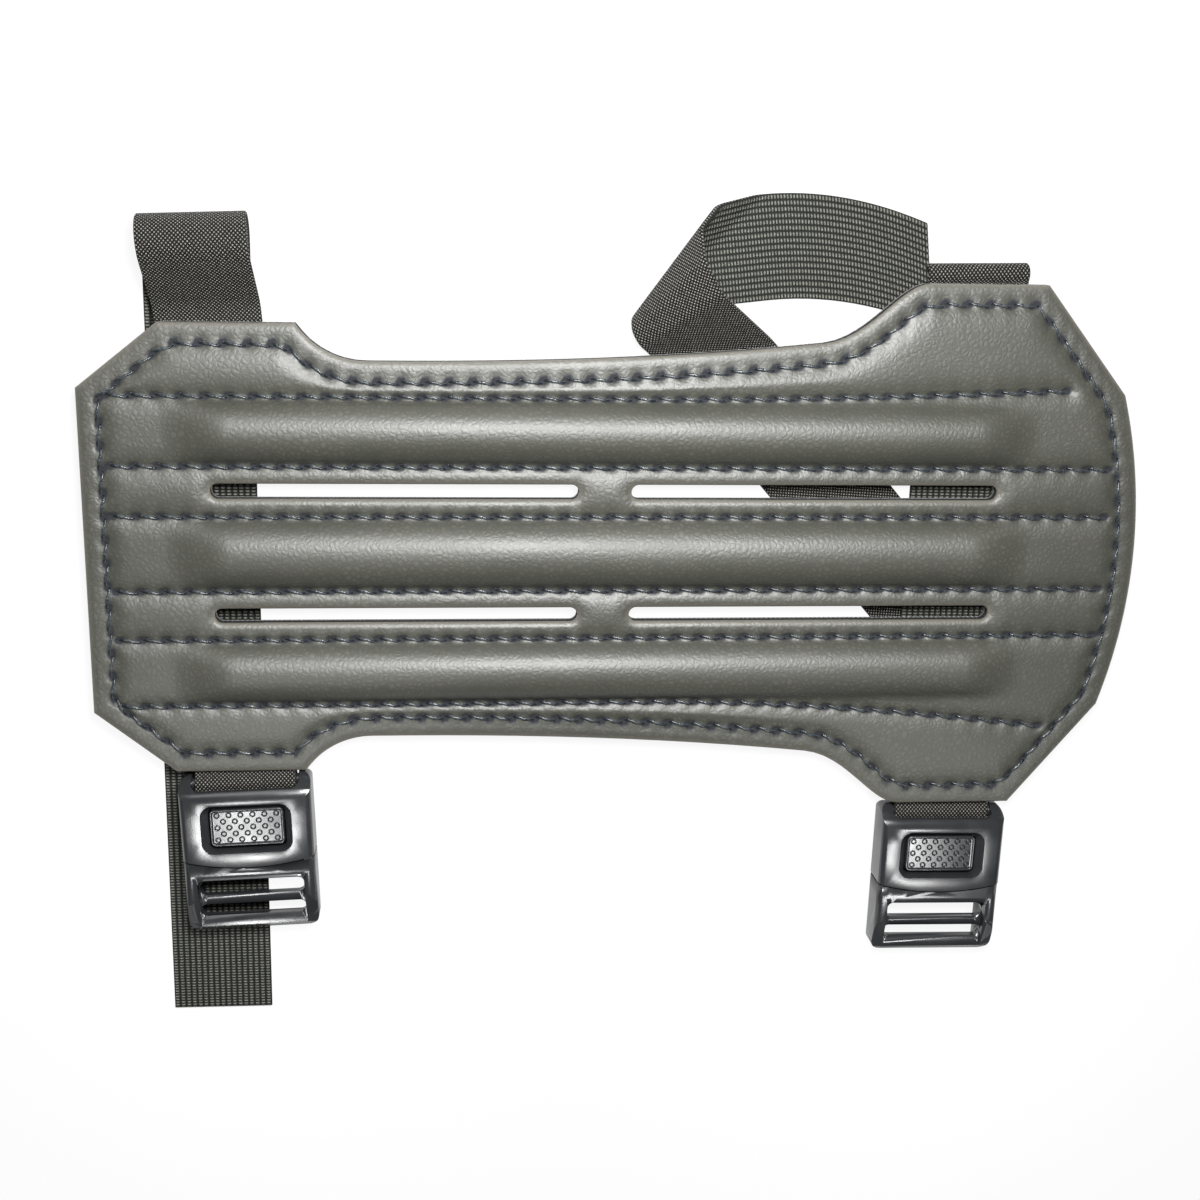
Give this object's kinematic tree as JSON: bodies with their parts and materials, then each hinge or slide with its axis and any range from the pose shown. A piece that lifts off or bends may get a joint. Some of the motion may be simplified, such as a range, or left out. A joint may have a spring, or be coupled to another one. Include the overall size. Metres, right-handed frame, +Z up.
{
  "type": "archery arm guard",
  "caption": "Quilted synthetic leather forearm guard with padded channels, long slots, elastic straps and press-button buckles, lying flat with its straps folded under.",
  "frame": {"origin": "under the middle of the whole part's bounding box, on the table", "axes": "+X along the guard towards its rounded end, +Y across it towards the strap loops, +Z up out of the padded face"},
  "size_m": [0.208, 0.1678, 0.0145],
  "materials": {
    "synthetic_leather": "dark grey-brown, fine grain, satin",
    "lining_fabric": "black knitted fabric",
    "foam": "dark grey closed-cell foam, matt",
    "stay_plastic": "plain, matt",
    "thread": "thick twisted polyester, slightly shiny",
    "elastic_webbing": "ribbed woven elastic, matt",
    "buckle_plastic": "moulded black plastic, satin"
  },
  "bodies": {
    "guard": {"outer_leather_panel": "synthetic_leather", "lining_panel": "lining_fabric", "foam_interlining": "foam", "padding_strip_top": "foam", "padding_strip_middle": "foam", "padding_strip_bottom": "foam", "stay_top": "stay_plastic", "stay_middle": "stay_plastic", "stay_bottom": "stay_plastic", "edge_stitching": "thread", "channel_stitching_top": "thread", "channel_stitching_middle": "thread", "channel_stitching_bottom": "thread", "left_strap": "elastic_webbing", "right_strap": "elastic_webbing", "left_buckle_loop": "elastic_webbing", "right_buckle_loop": "elastic_webbing"},
    "left_socket": {"left_buckle_socket": "buckle_plastic"},
    "left_plug": {"left_buckle_plug": "buckle_plastic"},
    "left_button": {"left_buckle_button": "buckle_plastic"},
    "right_socket": {"right_buckle_socket": "buckle_plastic"},
    "right_plug": {"right_buckle_plug": "buckle_plastic"},
    "right_button": {"right_buckle_button": "buckle_plastic"}
  },
  "joints": [
    {"name": "left_buckle_swing", "type": "hinge", "parent": "guard", "child": "left_socket", "pos_m": [-0.0753, -0.03263, 0.0042], "axis": [0.9994, 0.0349, 0], "range_deg": [-40, 0]},
    {"name": "left_buckle_release", "type": "slide", "parent": "left_socket", "child": "left_plug", "axis": [0.0349, -0.9994, 0], "range_m": [0, 0.016], "deforming": ["left_buckle_button"]},
    {"name": "left_button_press", "type": "hinge", "parent": "left_plug", "child": "left_button", "pos_m": [-0.0751, -0.03837, 0.0046], "axis": [0.9994, 0.0349, 0], "range_deg": [0, 12], "stiffness_Nm_per_rad": 0.3},
    {"name": "right_buckle_swing", "type": "hinge", "parent": "guard", "child": "right_socket", "pos_m": [0.0682, -0.04163, 0.003], "axis": [0.9998, -0.0175, 0], "range_deg": [-40, 75]},
    {"name": "right_buckle_release", "type": "slide", "parent": "right_socket", "child": "right_plug", "axis": [-0.0175, -0.9998, 0], "range_m": [0, 0.016], "deforming": ["right_buckle_button"]},
    {"name": "right_button_press", "type": "hinge", "parent": "right_plug", "child": "right_button", "pos_m": [0.0681, -0.04738, 0.0034], "axis": [0.9998, -0.0175, 0], "range_deg": [0, 12], "stiffness_Nm_per_rad": 0.3}
  ]
}
